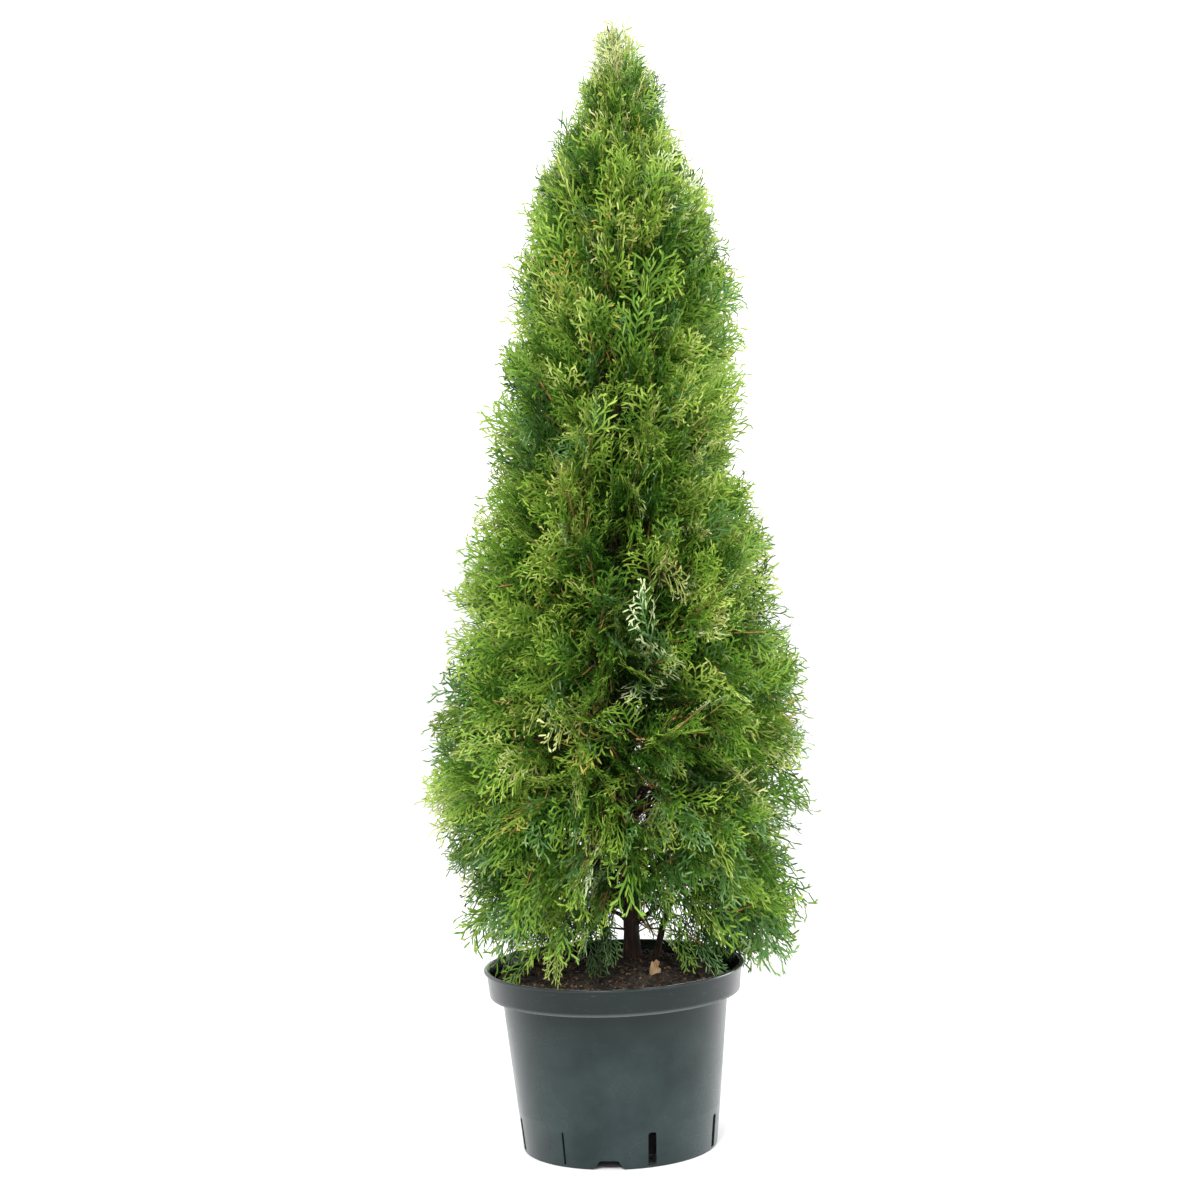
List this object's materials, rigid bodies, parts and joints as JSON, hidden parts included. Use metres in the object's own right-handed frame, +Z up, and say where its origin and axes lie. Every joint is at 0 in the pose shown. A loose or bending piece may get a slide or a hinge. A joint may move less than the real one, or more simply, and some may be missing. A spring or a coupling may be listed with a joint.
{
  "type": "potted thuja",
  "caption": "Young evergreen thuja with a narrow teardrop outline of flat scaly sprays, growing in a round tapered nursery pot with a wide rim band and slots round its foot.",
  "frame": {"origin": "middle of the flat underside of the pot, on the ground that the pot stands on", "axes": "+Z up along the trunk; -Y is the side that the picture shows; +X is to the right in it"},
  "size_m": [0.5252, 0.5148, 1.4753],
  "materials": {
    "pot_plastic": "satin dark grey plastic",
    "potting_soil": "dull dark brown, crumbly",
    "bark": "dull, fibrous red-brown",
    "foliage": "soft satin green"
  },
  "bodies": {
    "root": {"pot": "pot_plastic", "potting_soil": "potting_soil", "trunk": "bark", "stem_left": "bark", "stem_right": "bark", "bough_1": "bark", "bough_2": "bark", "bough_3": "bark", "bough_4": "bark", "bough_5": "bark", "bough_6": "bark", "bough_7": "bark", "bough_8": "bark", "bough_9": "bark", "bough_10": "bark", "bough_11": "bark", "bough_12": "bark", "bough_13": "bark", "bough_14": "bark", "skirt_foliage_1": "foliage", "skirt_foliage_2": "foliage", "skirt_foliage_3": "foliage", "skirt_foliage_4": "foliage", "lower_foliage_1": "foliage", "lower_foliage_2": "foliage", "lower_foliage_3": "foliage", "lower_foliage_4": "foliage", "lower_foliage_5": "foliage", "lower_foliage_6": "foliage", "belly_foliage_1": "foliage", "belly_foliage_2": "foliage", "belly_foliage_3": "foliage", "belly_foliage_4": "foliage", "belly_foliage_5": "foliage", "belly_foliage_6": "foliage", "waist_foliage_1": "foliage", "waist_foliage_2": "foliage", "waist_foliage_3": "foliage", "waist_foliage_4": "foliage", "waist_foliage_5": "foliage", "middle_foliage_1": "foliage", "middle_foliage_2": "foliage", "middle_foliage_3": "foliage", "middle_foliage_4": "foliage", "upper_foliage_1": "foliage", "upper_foliage_2": "foliage", "upper_foliage_3": "foliage", "shoulder_foliage_1": "foliage", "shoulder_foliage_2": "foliage", "top_foliage_1": "foliage", "top_foliage_2": "foliage", "tip_foliage_1": "foliage", "tip_foliage_2": "foliage"}
  },
  "joints": []
}
